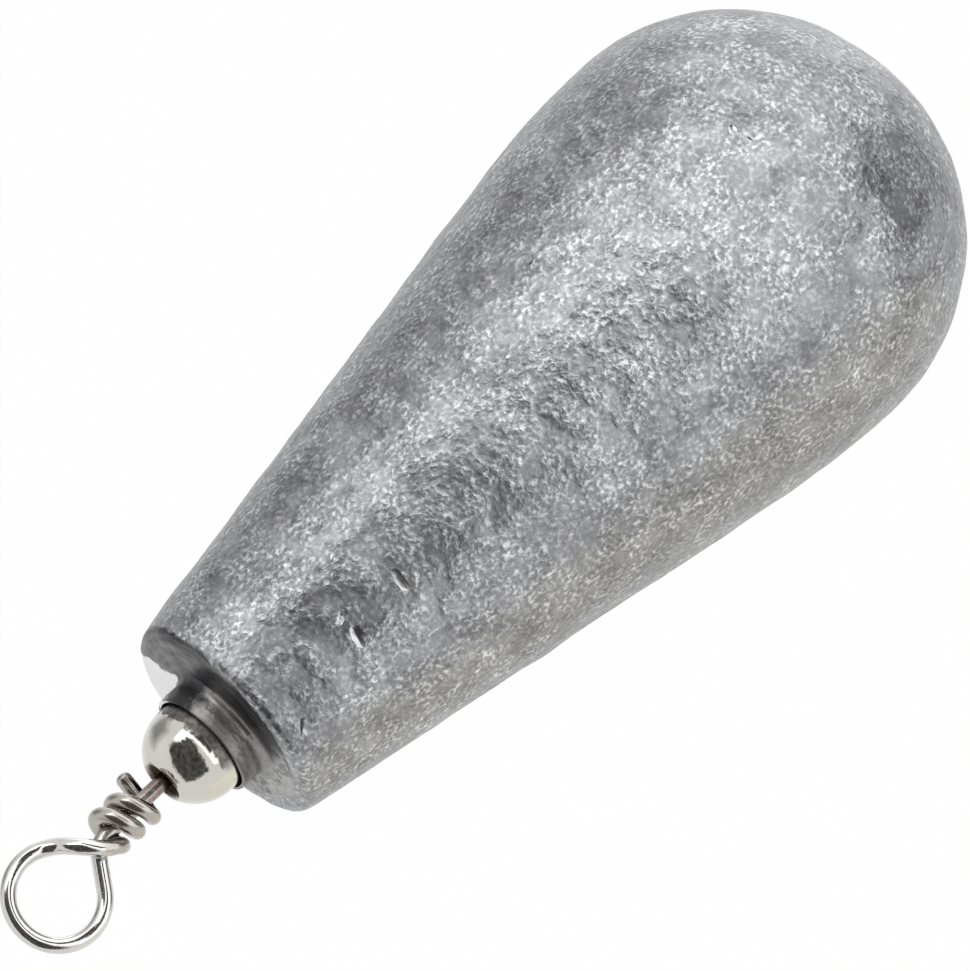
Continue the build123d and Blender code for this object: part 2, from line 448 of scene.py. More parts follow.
@dataclass(frozen=True)
class PolishedWire:
    """Polished stainless wire, darker and duller below the loop, partly tarnish on the wraps and partly
    painted shade on the stem behind them, and darker still towards the stem's foot.
    """

    colour: tuple = (0.56, 0.55, 0.53, 1)
    worn: tuple = (0.68, 0.67, 0.65, 1)
    # Below the loop: tarnish of the wraps mixed with painted shade of the stem, and darker still towards the
    # stem's foot.
    tarnish_and_shade: tuple = (0.40, 0.37, 0.34, 1)
    foot_dark: tuple = (0.17, 0.12, 0.105, 1)
    cloud_size: float = 0.5
    ragged: float = 0.4
    tarnish_and_shade_edge: tuple = (-3.1, -2.6)
    tarnish_and_shade_share: float = 0.85
    tarnish_roughness: float = 0.12
    foot_dark_edge: tuple = (-6.4, -5.9)
    foot_dark_share: float = 0.8
    roughness: tuple = (0.07, 0.13)
    ripple_size: float = 0.18
    ripple_depth: float = 0.003

    def material(self) -> Finish:
        """Make the finish of the wire eyes.

        Returns:
            The material.
        """
        made, graph, place = begin("polished_wire")
        _, _, z = graph.parts(place)
        cloud = graph.noise(place, self.cloud_size, 3, 0.6)
        line = graph.plus(z, graph.swell(cloud, -self.ragged, self.ragged))
        # Painted shade and tarnish below the loop, and the darker stem foot.
        dulled = graph.range(line, *self.tarnish_and_shade_edge, 1, 0)
        darker_foot = graph.range(line, *self.foot_dark_edge, 1, 0)
        clean = graph.blend(cloud, self.colour, self.worn)
        wound = graph.blend(graph.times(dulled, self.tarnish_and_shade_share), clean, self.tarnish_and_shade)
        matted = graph.times(dulled, self.tarnish_roughness)
        colour = graph.blend(graph.times(darker_foot, self.foot_dark_share), wound, self.foot_dark)
        roughness = graph.plus(graph.swell(cloud, *self.roughness), matted)
        graph.metal(colour, roughness, graph.noise(place, self.ripple_size), self.ripple_depth)
        return made


def clear_selection() -> None:
    """Leave object mode on with nothing selected."""
    if bpy.context.mode != "OBJECT":
        bpy.ops.object.mode_set(mode="OBJECT")
    bpy.ops.object.select_all(action="DESELECT")


def pick(piece: Piece) -> None:
    """Select one piece alone and make it active.

    Args:
        piece: The piece.
    """
    clear_selection()
    piece.select_set(True)
    bpy.context.view_layer.objects.active = piece


def choose(piece: Piece, test: Callable[[Vector], bool], faces: bool = False) -> None:
    """Select a piece's vertices or faces by their places and stay in edit mode.

    Args:
        piece: The piece.
        test: Whether a place, in millimetres, is chosen.
        faces: Whether faces are chosen, by their middles.
    """
    pick(piece)
    bpy.ops.object.mode_set(mode="EDIT")
    bpy.ops.mesh.select_mode(type="FACE" if faces else "VERT")
    bpy.ops.mesh.select_all(action="DESELECT")
    bpy.ops.object.mode_set(mode="OBJECT")
    if faces:
        for polygon in piece.data.polygons:
            polygon.select = test(polygon.center / MM)
    else:
        for vertex in piece.data.vertices:
            vertex.select = test(vertex.co / MM)
    bpy.ops.object.mode_set(mode="EDIT")


def arc(centre: tuple, radius: float, start: float, end: float, step: float) -> list[Vector]:
    """Points of an arc in the outline's plane.

    Args:
        centre: Its centre, off the axis and along it, in millimetres.
        radius: In millimetres.
        start: Where it starts, in degrees from the outward direction.
        end: Where it ends, in degrees.
        step: Longest gap between points, in millimetres.

    Returns:
        The points, both ends included.
    """
    count = max(2, math.ceil(abs(math.radians(end - start)) * radius / step))
    turns = [math.radians(start + (end - start) * i / count) for i in range(count + 1)]
    return [Vector((centre[0] + radius * math.cos(a), 0, centre[1] + radius * math.sin(a))) for a in turns]


def corner(before: Vector, at: Vector, after: Vector, radius: float, count: int = 6) -> list[Vector]:
    """Points of the arc that rounds off a corner.

    Args:
        before: Point before the corner.
        at: The corner.
        after: Point after the corner.
        radius: Of the rounding, in millimetres.
        count: Number of steps.

    Returns:
        The points, both ends included.
    """
    first = (before - at).normalized()
    second = (after - at).normalized()
    half = first.angle(second) / 2
    centre = at + (first + second).normalized() * radius / math.sin(half)
    reach = radius / math.tan(half)
    start = at + first * reach - centre
    end = at + second * reach - centre
    return [centre + start.slerp(end, i / count) * radius for i in range(count + 1)]


def spread(points: list[Vector], step: float) -> list[Vector]:
    """The same line with no two points further apart than a step.

    Args:
        points: The line.
        step: In the line's own units.

    Returns:
        The finer line.
    """
    finer = [points[0]]
    for here, there in zip(points, points[1:]):
        count = max(1, math.ceil((there - here).length / step))
        finer += [here.lerp(there, i / count) for i in range(1, count + 1)]
    return finer


def chain(name: str, points: list[Vector]) -> Piece:
    """Line of vertices, extruded from point to point.

    Args:
        name: Name of the new object.
        points: In millimetres.

    Returns:
        The new object, in edit mode.
    """
    clear_selection()
    bpy.ops.mesh.primitive_plane_add(size=MM)
    piece = bpy.context.active_object
    piece.name = name
    piece.data.name = name
    bpy.ops.object.mode_set(mode="EDIT")
    bpy.ops.mesh.select_mode(type="VERT")
    bpy.ops.mesh.select_all(action="SELECT")
    bpy.ops.mesh.merge(type="CENTER")
    bpy.ops.transform.translate(value=points[0] * MM)
    for here, there in zip(points, points[1:]):
        bpy.ops.mesh.extrude_vertices_move(TRANSFORM_OT_translate={"value": (there - here) * MM})
    return piece


def close_up(piece: Piece) -> None:
    """Weld a piece's seams, point its faces outwards and shade it.

    Args:
        piece: The piece.
    """
    pick(piece)
    bpy.ops.object.mode_set(mode="EDIT")
    bpy.ops.mesh.select_all(action="SELECT")
    bpy.ops.mesh.remove_doubles(threshold=WELD)
    bpy.ops.mesh.normals_make_consistent(inside=False)
    bpy.ops.object.mode_set(mode="OBJECT")
    bpy.ops.object.shade_smooth_by_angle(angle=math.radians(CREASE))


def lathe(name: str, outline: list[Vector], steps: int) -> Piece:
    """Turned piece round the swivel axis.

    Args:
        name: Name of the new object.
        outline: Half section, in millimetres.
        steps: Faces round the axis.

    Returns:
        The new object.
    """
    piece = chain(name, outline)
    bpy.ops.mesh.select_all(action="SELECT")
    bpy.ops.mesh.spin(steps=steps, angle=2 * math.pi, center=(0, 0, 0), axis=(0, 0, 1))
    close_up(piece)
    return piece


def tube(name: str, route: list[Vector], radius: float, sides: int) -> Piece:
    """Round wire along a route.

    Args:
        name: Name of the new object.
        route: Middle of the wire, in millimetres.
        radius: Of the wire, in millimetres.
        sides: Faces round a quarter of the wire.

    Returns:
        The new object.
    """
    piece = chain(name, route)
    pick(piece)
    bpy.ops.object.convert(target="CURVE")
    piece = bpy.context.active_object
    piece.data.bevel_depth = radius * MM
    piece.data.bevel_resolution = sides - 1
    piece.data.use_fill_caps = True
    bpy.ops.object.convert(target="MESH")
    piece = bpy.context.active_object
    piece.data.name = name
    close_up(piece)
    return piece


def shape_with(piece: Piece, tool: Piece, shaping: Shaping) -> None:
    """Cut out or join on a tool's shape and take the tool away.

    Args:
        piece: The piece that changes.
        tool: The shape that is cut out or joined on.
        shaping: Which of the two is done.
    """
    pick(piece)
    bpy.ops.object.modifier_add(type="BOOLEAN")
    modifier = piece.modifiers[-1]
    modifier.operation = shaping.value
    modifier.solver = "EXACT"
    modifier.material_mode = "INDEX"
    modifier.object = tool
    bpy.ops.object.modifier_apply(modifier=modifier.name)
    bpy.data.objects.remove(tool)


def dress(piece: Piece, finishes: list[Finish], number: int = 0) -> None:
    """Give a piece a list of finishes, and wear one of them all over.

    Args:
        piece: The piece.
        finishes: The materials.
        number: Place in the list of the one that is worn.
    """
    piece.data.materials.clear()
    for finish in finishes:
        piece.data.materials.append(finish)
    for polygon in piece.data.polygons:
        polygon.material_index = number


def hand_in(piece: Piece, node: Node, body: Body) -> None:
    """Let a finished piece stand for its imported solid.

    Args:
        piece: The finished piece.
        node: The solid that it stands for.
        body: The body that it rides on.
    """
    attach(piece, body.value)
    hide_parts(node.value)
    log.info("%s stands for %s, with %d faces", piece.name, node.value, len(piece.data.polygons))


@dataclass(frozen=True)
class Nick:
    """Dent in the lead's skin, in millimetres and degrees: a gouge with flat flanks, or a rounder pit.

    The azimuth is 0 on the photograph's side, and the turn is in the skin, from along the lead.
    """

    height: float
    azimuth: float
    length: float
    width: float
    depth: float
    turn: float = 0.0
    kind: Dent = Dent.GOUGE


@dataclass
class SwivelBarrel:
    """Turned barrel of the swivel, in millimetres, with its place taken from the frame."""

    length: float = 8.4
    wall: float = 0.45
    mouth_diameter: float = 2.1
    mouth_round: float = 0.12
    funnel_depth: float = 0.75
    throat_length: float = 0.3
    throat_diameter: float = 0.91
    dome_stop: float = 4.0  # degrees before the mouth, where its rounding starts
    steps: int = 144
    step: float = 0.12

    def __post_init__(self) -> None:
        """Read the barrel's size and place, and work out its other sizes."""
        low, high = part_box(Node.BARREL.value)
        self.radius = high.x / MM
        self.middle = (low.z + high.z) / 2 / MM
        self.mouth = self.mouth_diameter / 2
        self.throat = self.throat_diameter / 2
        self.half = self.length / 2
        self.dome = self.half - math.sqrt(self.radius**2 - self.mouth**2)

    def upper_outside(self, growth: float) -> list[Vector]:
        """Outline of the upper half's outside, from the widest line to the throat, round the origin.

        Args:
            growth: How far outside the barrel the outline runs.

        Returns:
            The points.
        """
        radius = self.radius + growth
        mouth = self.mouth - growth
        top = self.dome + math.sqrt(radius**2 - mouth**2)
        lean = math.degrees(math.acos(mouth / radius))
        dome = arc((0, self.dome), radius, 0, lean - self.dome_stop, self.step)
        rim = Vector((mouth, 0, top))
        floor = Vector((self.throat - growth, 0, self.half - self.funnel_depth + growth))
        return dome + corner(dome[-1], rim, floor, self.mouth_round)[1:] + [floor]

    def at_place(self, outline: list[Vector], flip: bool = False) -> list[Vector]:
        """Outline round the origin moved to the barrel's middle, turned over for the lower half."""
        sign = -1 if flip else 1
        return [Vector((p.x, 0, self.middle + sign * p.z)) for p in outline]

    def build(self, finish: Finish) -> None:
        """Turn the barrel, with its hollow, and hand it in.

        Args:
            finish: Its material.
        """
        cavity = self.radius - self.wall
        roof = self.half - self.funnel_depth - self.throat_length
        roof_turn = math.degrees(math.asin((roof - self.dome) / cavity))
        outside = self.upper_outside(0)
        inside = arc((0, self.dome), cavity, 0, roof_turn, self.step) + [Vector((self.throat, 0, roof))]
        outline = self.at_place(list(reversed(outside)))
        outline += self.at_place(outside, flip=True)
        outline += self.at_place(list(reversed(inside)), flip=True)
        outline += self.at_place(inside) + outline[:1]
        barrel = lathe("swivel_barrel_shell", spread(outline, LONG_STEP), self.steps)
        dress(barrel, [finish])
        hand_in(barrel, Node.BARREL, Body.SINKER)


@dataclass
class WireEye:
    """Wire eye of the swivel: stem, loop, crossing, wraps and tail, in millimetres."""

    diameter: float = 0.75
    loop_radius: float = 2.17
    loop_offset: float = 0.48
    leg_angle: float = 55.0
    leg_bend: float = 1.2
    exit_angle: float = 20.0
    crossing_rise: float = 0.56
    crossing_slope: float = 42.0
    crossing_gap: float = 0.2
    wrap_start_gap: float = 0.15
    wrap_turns: int = 2
    wrap_spacing: float = 0.21
    wrap_lean: float = 0.2
    wrap_gap: float = 0.07
    tail_drop: float = 0.35
    tail_slope: float = 5.0
    tail_length: float = 1.2
    tail_round: float = 0.3
    tail_leans: tuple = (18, 36, 54, 70, 84)
    tail_reach: float = 0.47
    head_radius: float = 1.368
    head_thickness: float = 0.75
    head_round: float = 0.25
    head_steps: int = 48
    step: float = 0.09
    sides: int = 8

    def wrap_point(self, quarter: float, start: float) -> tuple[Vector, Vector]:
        """Middle of the wire and its direction in the wraps.

        Args:
            quarter: Quarter turns after their start.
            start: Height of their start.

        Returns:
            The point and the unit direction.
        """
        turn = math.radians(-180 - 90 * quarter)
        radius = self.diameter + self.wrap_gap
        pitch = self.diameter + self.wrap_spacing
        lean_x = self.wrap_lean * math.cos(turn)
        lean_y = self.wrap_lean * math.sin(turn)
        x = radius * math.cos(turn)
        y = radius * math.sin(turn)
        z = start - pitch * quarter / 4 + self.wrap_lean + lean_x
        return Vector((x, y, z)), Vector((y, -x, lean_y - pitch / (2 * math.pi))).normalized()

    def swing(self, start: Vector, way: Vector, end: Vector) -> tuple[list[Vector], Vector]:
        """Arc that leaves a point along a direction.

        Args:
            start: Where it starts.
            way: Unit direction there.
            end: Where it ends.

        Returns:
            The points after the start, and the direction at the end.
        """
        chord = end - start
        across = chord - way * chord.dot(way)
        side = across.normalized()
        turn = 2 * math.atan2(across.length, chord.dot(way))
        radius = chord.length / (2 * math.sin(turn / 2))
        count = max(2, math.ceil(radius * turn / self.step))
        turns = [turn * i / count for i in range(1, count + 1)]
        points = [start + (way * math.sin(a) + side * (1 - math.cos(a))) * radius for a in turns]
        return points, way * math.cos(turn) + side * math.sin(turn)

    def double_swing(self, start: Vector, way: Vector, end: Vector, end_way: Vector) -> list[Vector]:
        """Two arcs that leave and arrive along two directions.

        Args:
            start: Where the first arc starts.
            way: Unit direction there.
            end: Where the second arc ends.
            end_way: Unit direction there.

        Returns:
            The points after the start.
        """
        chord = end - start
        spare = 1 - way.dot(end_way)
        along = chord.dot(way + end_way)
        reach = (math.sqrt(along**2 + 2 * spare * chord.dot(chord)) - along) / (2 * spare)
        middle = (start + way * reach + end - end_way * reach) / 2
        first, middle_way = self.swing(start, way, middle)
        second, _ = self.swing(middle, middle_way, end)
        return first + second

    def route(self, stem_foot: float) -> list[Vector]:
        """Middle of the wire, from the stem's foot to the tail's end.

        Args:
            stem_foot: Height of the stem's foot.

        Returns:
            The points.
        """
        lean = math.radians(self.leg_angle)
        leg_way = Vector((-math.sin(lean), 0, math.cos(lean)))
        leg_run = (self.loop_offset + self.loop_radius * math.cos(lean)) / math.sin(lean)
        corner_z = -self.loop_radius * math.sin(lean) - leg_run * math.cos(lean)
        reach = self.leg_bend * math.tan(lean / 2)
        bend_start = Vector((0, 0, corner_z - reach))
        bend_end = Vector((0, 0, corner_z)) + leg_way * reach
        leg_top = Vector((0, 0, corner_z)) + leg_way * leg_run
        exit_turn = math.radians(-self.exit_angle)
        loop_exit = Vector((self.loop_radius * math.cos(exit_turn) - self.loop_offset, 0,
                            self.loop_radius * math.sin(exit_turn)))
        loop_top = Vector((-self.loop_offset, 0, self.loop_radius))
        slope = math.radians(self.crossing_slope)
        crossing = Vector((0, -self.diameter - self.crossing_gap, corner_z + self.crossing_rise))
        crossing_way = Vector((-math.cos(slope), 0, -math.sin(slope)))
        wraps_z = corner_z - reach - self.wrap_start_gap
        fall = math.radians(self.tail_slope)
        tail_way = Vector((math.cos(fall), 0, -math.sin(fall)))
        tail_z = wraps_z - (self.diameter + self.wrap_spacing) * self.wrap_turns - self.tail_drop
        tail_foot = Vector((0, self.diameter + self.wrap_gap, tail_z))

        points = [Vector((0, 0, stem_foot)), bend_start]
        points += self.swing(bend_start, Vector((0, 0, 1)), bend_end)[0]
        points.append(leg_top)
        upper, way = self.swing(leg_top, leg_way, loop_top)
        lower, way = self.swing(loop_top, way, loop_exit)
        points += upper + lower
        turns = [self.wrap_point(quarter, wraps_z) for quarter in range(4 * self.wrap_turns + 1)]
        points += self.double_swing(loop_exit, way, crossing, crossing_way)
        points += self.double_swing(crossing, crossing_way, *turns[0])
        for (start, start_way), (end, end_way) in zip(turns, turns[1:]):
            points += self.double_swing(start, start_way, end, end_way)
        points += self.double_swing(*turns[-1], tail_foot, tail_way)
        points.append(tail_foot + tail_way * self.tail_length)
        return spread(points, self.step)

    def build(self, barrel: SwivelBarrel, finish: Finish) -> None:
        """Wind the wire, set its head on it, and hand both eyes in.

        Args:
            barrel: The barrel that the eyes sit in.
            finish: Their material.
        """
        low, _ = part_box(Node.LINE_EYE.value)
        foot = low.z / MM
        route = self.route(foot + self.head_thickness / 2)
        eye = tube("wound_line_eye", route, self.diameter / 2, self.sides)
        self.round_tail(eye, route[-1], (route[-1] - route[-2]).normalized())
        rim = Vector((self.head_radius, 0, foot))
        top = Vector((self.head_radius, 0, foot + self.head_thickness))
        axis_low = Vector((0, 0, foot))
        edge = corner(axis_low, rim, top, self.head_round)
        head = lathe("wire_head", [axis_low] + edge + [top, Vector((0, 0, top.z))], self.head_steps)
        shape_with(eye, head, Shaping.JOIN_ON)
        close_up(eye)
        dress(eye, [finish])
        pick(eye)
        bpy.ops.object.duplicate()
        anchor = bpy.context.active_object
        anchor.name = "cast_in_anchor_eye"
        flip = Matrix.Translation((0, 0, 2 * barrel.middle * MM)) @ Matrix.Rotation(math.pi, 4, "X")
        anchor.data.transform(flip)
        hand_in(eye, Node.LINE_EYE, Body.EYE)
        hand_in(anchor, Node.ANCHOR_EYE, Body.SINKER)

    def round_tail(self, eye: Piece, end: Vector, way: Vector) -> None:
        """Round the tail's end off, in short steps that narrow.

        Args:
            eye: The wound wire.
            end: Middle of the cut end, in millimetres.
            way: Unit direction of the tail.
        """
        near = self.diameter * self.tail_reach
        choose(eye, lambda place: (place - end).length < near, faces=True)
        bpy.ops.mesh.dissolve_faces()
        radius = self.diameter / 2
        width, reach = radius, 0.0
        for lean in self.tail_leans:
            turn = math.radians(lean)
            new_width = radius - self.tail_round * (1 - math.cos(turn))
            new_reach = self.tail_round * math.sin(turn)
            move = way * (new_reach - reach) * MM
            bpy.ops.mesh.extrude_region_move(TRANSFORM_OT_translate={"value": move})
            bpy.ops.transform.resize(value=(new_width / width,) * 3)
            width, reach = new_width, new_reach
        bpy.ops.object.mode_set(mode="OBJECT")


@dataclass
class LeadCasting:
    """Pear-shaped lead, cast round the barrel and the anchor eye, in millimetres.

    Each unevenness of its skin has a name, a size and a height.
    """

    end_face_diameter: float = 10.46
    nose_angle: float = 31.5
    shoulder_offset: float = 0.37
    flank_radius: float = 41.3
    rim_round: float = 0.5
    collar_height: float = 1.0
    collar_wall: float = 0.16
    collar_foot_round: float = 0.4
    collar_top_round: float = 0.06
    crevice_width: float = 0.14
    crevice_depth: float = 0.6
    cast_gap: float = 0.02
    skin_step: float = 0.22
    steps: int = 280
    lip_rise: float = 0.35
    lip_depth: float = 0.09
    seam_swell: float = 1.004
    seam_width: float = 0.001
    seam_start: float = 3.0
    room_sides: int = 3
    unevenness: tuple = (("waves", 5.0, 0.16), ("lumps", 1.3, 0.07))
    end_unevenness: float = 0.25
    end_fade: float = 0.8
    pocket_height: float = 10.0
    nicks: tuple = (
        Nick(-43.5, 35.1, 0.75, 0.40, 0.13, 67),
        Nick(-43.5, 30.4, 0.60, 0.36, 0.10, 117),
        Nick(-43.6, 20.4, 0.70, 0.40, 0.13, 70),
        Nick(-43.8, 16.2, 0.60, 0.36, 0.10, 110),
        Nick(-44.9, 37.0, 1.10, 0.26, 0.09, 73),
        Nick(-19.4, -5.8, 1.30, 0.60, 0.17, 84),
        Nick(-16.2, -1.3, 0.80, 0.42, 0.16, 36),
        Nick(-16.3, -11.5, 1.20, 0.56, 0.16, 77),
        Nick(-11.9, -26.2, 0.90, 0.36, 0.12, 56),
        Nick(-27.7, 7.4, 0.80, 0.46, 0.15, 24),
        Nick(-18.4, 33.0, 1.00, 0.80, 0.10, kind=Dent.PIT),
        Nick(-17.9, 43.6, 0.50, 0.40, 0.08, kind=Dent.SMALL_PIT),
        Nick(-33.3, 38.8, 1.00, 0.80, 0.10, kind=Dent.PIT),
        Nick(-38.0, 128.0, 0.90, 0.40, 0.12, 60),
        Nick(-24.5, 165.0, 0.80, 0.40, 0.12, 100),
        Nick(-46.0, 205.0, 0.90, 0.70, 0.09, kind=Dent.PIT),
        Nick(-30.5, 240.0, 1.10, 0.40, 0.12, 40),
    )

    def __post_init__(self) -> None:
        """Read the casting's size and place from the frame."""
        low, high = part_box(Node.LEAD.value)
        self.bulb = max(high.x, -low.x, high.y, -low.y) / MM
        self.nose = low.z / MM
        self.collar_top = high.z / MM
        self.end_face = self.collar_top - self.collar_height

    def skin(self) -> list[Vector]:
        """Outline of the outside, from the nose to the end face's rim.

        Returns:
            The points.
        """
        cap = math.radians(self.nose_angle)
        shoulder = self.bulb - self.shoulder_offset
        nose_radius = shoulder + self.shoulder_offset / math.sin(cap)
        nose_centre = self.nose + nose_radius
        widest = nose_centre - self.shoulder_offset / math.tan(cap)
        flank_centre = self.bulb - self.flank_radius
        rim_x = self.end_face_diameter / 2 - flank_centre
        rim_z = self.end_face - widest
        touch = math.atan2(rim_z, rim_x) - math.acos(self.flank_radius / math.hypot(rim_x, rim_z))
        points = arc((0, nose_centre), nose_radius, -90, self.nose_angle - 90, self.skin_step)
        points += arc((self.shoulder_offset, widest), shoulder, self.nose_angle - 90, 0, self.skin_step)[1:]
        points += arc((flank_centre, widest), self.flank_radius, 0, math.degrees(touch), self.skin_step)[1:]
        return points + [Vector((self.end_face_diameter / 2, 0, self.end_face))]

    def outline(self, barrel: SwivelBarrel) -> list[Vector]:
        """Whole half section: skin, end face, collar, crevice and the barrel's pocket.

        Args:
            barrel: The barrel that the lead is cast round.

        Returns:
            The points.
        """
        skin = self.skin()
        rim = skin[-1]
        groove = barrel.radius + self.crevice_width
        wall = groove + self.collar_wall
        foot = Vector((wall, 0, self.end_face))
        top = Vector((wall, 0, self.collar_top))
        lip = Vector((groove, 0, self.collar_top))
        outside = skin[:-1] + corner(skin[-2], rim, foot, self.rim_round)
        outside += corner(rim, foot, top, self.collar_foot_round)
        outside += corner(foot, top, lip, self.collar_top_round)
        pocket = barrel.at_place(barrel.upper_outside(self.cast_gap), flip=True)
        floor = Vector((pocket[0].x, 0, self.collar_top - self.crevice_depth))
        inside = [lip, floor] + pocket + [Vector((0, 0, pocket[-1].z))]
        return spread(outside, self.skin_step) + spread(inside, LONG_STEP)

    def build(self, barrel: SwivelBarrel, wire: WireEye, finishes: list[Finish]) -> None:
        """Cast the lead, mark its skin and hand it in.

        Args:
            barrel: The barrel that the lead is cast round.
            wire: The wire eye that the lead is cast round.
            finishes: Its material and that of its nicks.
        """
        lead = lathe("lead_casting", self.outline(barrel), self.steps)
        dress(lead, finishes)
        self.raise_lip(lead)
        self.raise_seam(lead)
        self.unsettle(lead, barrel)
        self.dent(lead)
        self.leave_room(lead, barrel, wire)
        close_up(lead)
        hand_in(lead, Node.LEAD, Body.SINKER)

    def raise_lip(self, lead: Piece) -> None:
        """Raise the collar's thin lip.

        Args:
            lead: The casting.
        """
        low = self.collar_top - self.lip_depth
        choose(lead, lambda place: place.z > low)
        bpy.ops.transform.translate(value=(0, 0, self.lip_rise * MM))
        bpy.ops.object.mode_set(mode="OBJECT")

    def raise_seam(self, lead: Piece) -> None:
        """Raise the trimmed seam of the two mould halves on both flanks.

        Args:
            lead: The casting.
        """
        high = self.end_face - self.rim_round
        choose(lead, lambda place: abs(place.y) < self.seam_width and abs(place.x) > self.seam_start
               and place.z < high)
        bpy.ops.transform.resize(value=(self.seam_swell, 1, 1), center_override=(0, 0, 0))
        bpy.ops.object.mode_set(mode="OBJECT")

    def unsettle(self, lead: Piece, barrel: SwivelBarrel) -> None:
        """Make the cast skin uneven, in broad waves and in small lumps.

        Args:
            lead: The casting.
            barrel: The barrel, whose pocket stays true.
        """
        pick(lead)
        group = lead.vertex_groups.new(name="skin")
        reach = (barrel.radius + self.crevice_width + self.collar_wall) * MM
        for vertex in lead.data.vertices:
            place = vertex.co
            in_pocket = place.xy.length < reach and place.z > (self.nose + self.pocket_height) * MM
            depth = (self.end_face * MM - place.z) / (self.end_fade * MM)
            weight = 0.0 if in_pocket else min(1.0, max(self.end_unevenness, depth))
            group.add([vertex.index], weight, "REPLACE")
        for name, size, height in self.unevenness:
            texture = bpy.data.textures.new(name, "CLOUDS")
            texture.noise_scale = size * MM
            texture.noise_depth = 1
            bpy.ops.object.modifier_add(type="DISPLACE")
            modifier = lead.modifiers[-1]
            modifier.texture = texture
            modifier.texture_coords = "LOCAL"
            modifier.strength = height * MM
            modifier.mid_level = 0.5
            modifier.vertex_group = group.name
            bpy.ops.object.modifier_apply(modifier=modifier.name)

    def dent(self, lead: Piece) -> None:
        """Cut the nicks into the skin.

        Args:
            lead: The casting.
        """
        skin = spread(self.skin(), self.skin_step)
        tools = []
        for nick in self.nicks:
            near = min(range(1, len(skin) - 1), key=lambda i: abs(skin[i].z - nick.height))
            slope = (skin[near + 1] - skin[near - 1]).normalized()
            turn = Matrix.Rotation(math.radians(nick.azimuth - 90), 3, "Z")
            out = turn @ Vector((slope.z, 0, -slope.x))
            along = Matrix.Rotation(math.radians(nick.turn), 3, out) @ turn @ slope
            axes = Matrix((out.cross(along), out, along)).transposed().to_4x4()
            clear_selection()
            flanks = nick.kind.value
            bpy.ops.mesh.primitive_uv_sphere_add(segments=flanks, ring_count=flanks, radius=MM)
            tool = bpy.context.active_object
            shape = Matrix.Diagonal((nick.width / 2, nick.depth, nick.length / 2, 1))
            tool.data.transform(Matrix.Translation(turn @ skin[near] * MM) @ axes @ shape)
            dress(tool, list(lead.data.materials), int(nick.kind is Dent.GOUGE))
            tools.append(tool)
        clear_selection()
        for tool in tools:
            tool.select_set(True)
        bpy.context.view_layer.objects.active = tools[0]
        bpy.ops.object.join()
        shape_with(lead, tools[0], Shaping.CUT_OUT)

    def leave_room(self, lead: Piece, barrel: SwivelBarrel, wire: WireEye) -> None:
        """Cut the room that the anchor eye's wire takes in the lead.

        Args:
            lead: The casting.
            barrel: The barrel that the anchor eye sits in.
            wire: The wire eye.
        """
        low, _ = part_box(Node.LINE_EYE.value)
        route = wire.route(low.z / MM + wire.head_thickness)
        turned = [Vector((p.x, -p.y, 2 * barrel.middle - p.z)) for p in route]
        room = tube("anchor_room", turned, wire.diameter / 2 + self.cast_gap, self.room_sides)
        shape_with(lead, room, Shaping.CUT_OUT)


@dataclass
class PhotoCamera:
    """Camera where the photograph was taken from, with the eye end tilted towards it."""

    elevation: float = 17.8
    roll: float = 133.385
    frame_width: float = 42.68
    aim: tuple = (-0.275, 0.0, -27.21)
    distance: float = 1000.0
    sensor: float = 36.0
    nearest: float = 10.0
    furthest: float = 20000.0

    def away(self) -> Vector:
        """Direction from the object to the camera."""
        tilt = math.radians(self.elevation)
        return Vector((0, -math.cos(tilt), math.sin(tilt)))

    def target(self) -> Vector:
        """Point in the middle of the picture."""
        return Vector(self.aim) * MM

    def turn(self) -> Quaternion:
        """Camera's turn, with its roll."""
        level = (-self.away()).to_track_quat("-Z", "Y")
        return level @ Quaternion((0, 0, 1), -math.radians(self.roll))

    def bearing(self, angle: float, clock: float) -> Vector:
        """Direction from the object, so far round from the camera.

        Args:
            angle: Degrees away from the camera.
            clock: Which way in the picture, in degrees clockwise from its top.

        Returns:
            The unit direction.
        """
        side = math.radians(clock)
        lean = math.radians(angle)
        seen = Vector((math.sin(side) * math.sin(lean), math.cos(side) * math.sin(lean), math.cos(lean)))
        return self.turn() @ seen

    def build(self) -> None:
        """Make the camera and give it to the scene."""
        lens = bpy.data.cameras.new("photo_camera")
        lens.sensor_fit = "HORIZONTAL"
        lens.sensor_width = self.sensor
        lens.lens = self.sensor * self.distance / self.frame_width
        lens.clip_start = self.nearest * MM
        lens.clip_end = self.furthest * MM
        camera = bpy.data.objects.new("photo_camera", lens)
        camera.rotation_mode = "QUATERNION"
        camera.rotation_quaternion = self.turn()
        camera.location = self.target() + self.away() * self.distance * MM
        bpy.context.scene.collection.objects.link(camera)
        bpy.context.scene.camera = camera


@dataclass(frozen=True)
class Stand:
    """Place and size of a lamp or card that faces the object, in degrees and millimetres.

    The angle is how far it stands from the camera, and the clock is which way in the picture, clockwise
    from the top.
    """

    name: str
    angle: float
    clock: float
    distance: float
    size: tuple


@dataclass(frozen=True)
class Lamp(Stand):
    """Soft lamp, which is white at a glow of 1."""

    glow: float


@dataclass(frozen=True)
class Card(Stand):
    """Grey card out of the picture.

    The tone is how light its cloth is, and its edges fade over a share of its size. Creases of 0 to 1 make
    the cloth uneven, and the turn is in the card's own plane. The aim is the point that it faces,
    where that isn't the camera's. A card that doesn't shade shows in reflections alone.
    """

    tone: float
    fade: float
    creases: float = 0.0
    turn: float = 0.0
    aim: tuple | None = None
    shades: bool = True
    tint: tuple = (1, 1, 1)


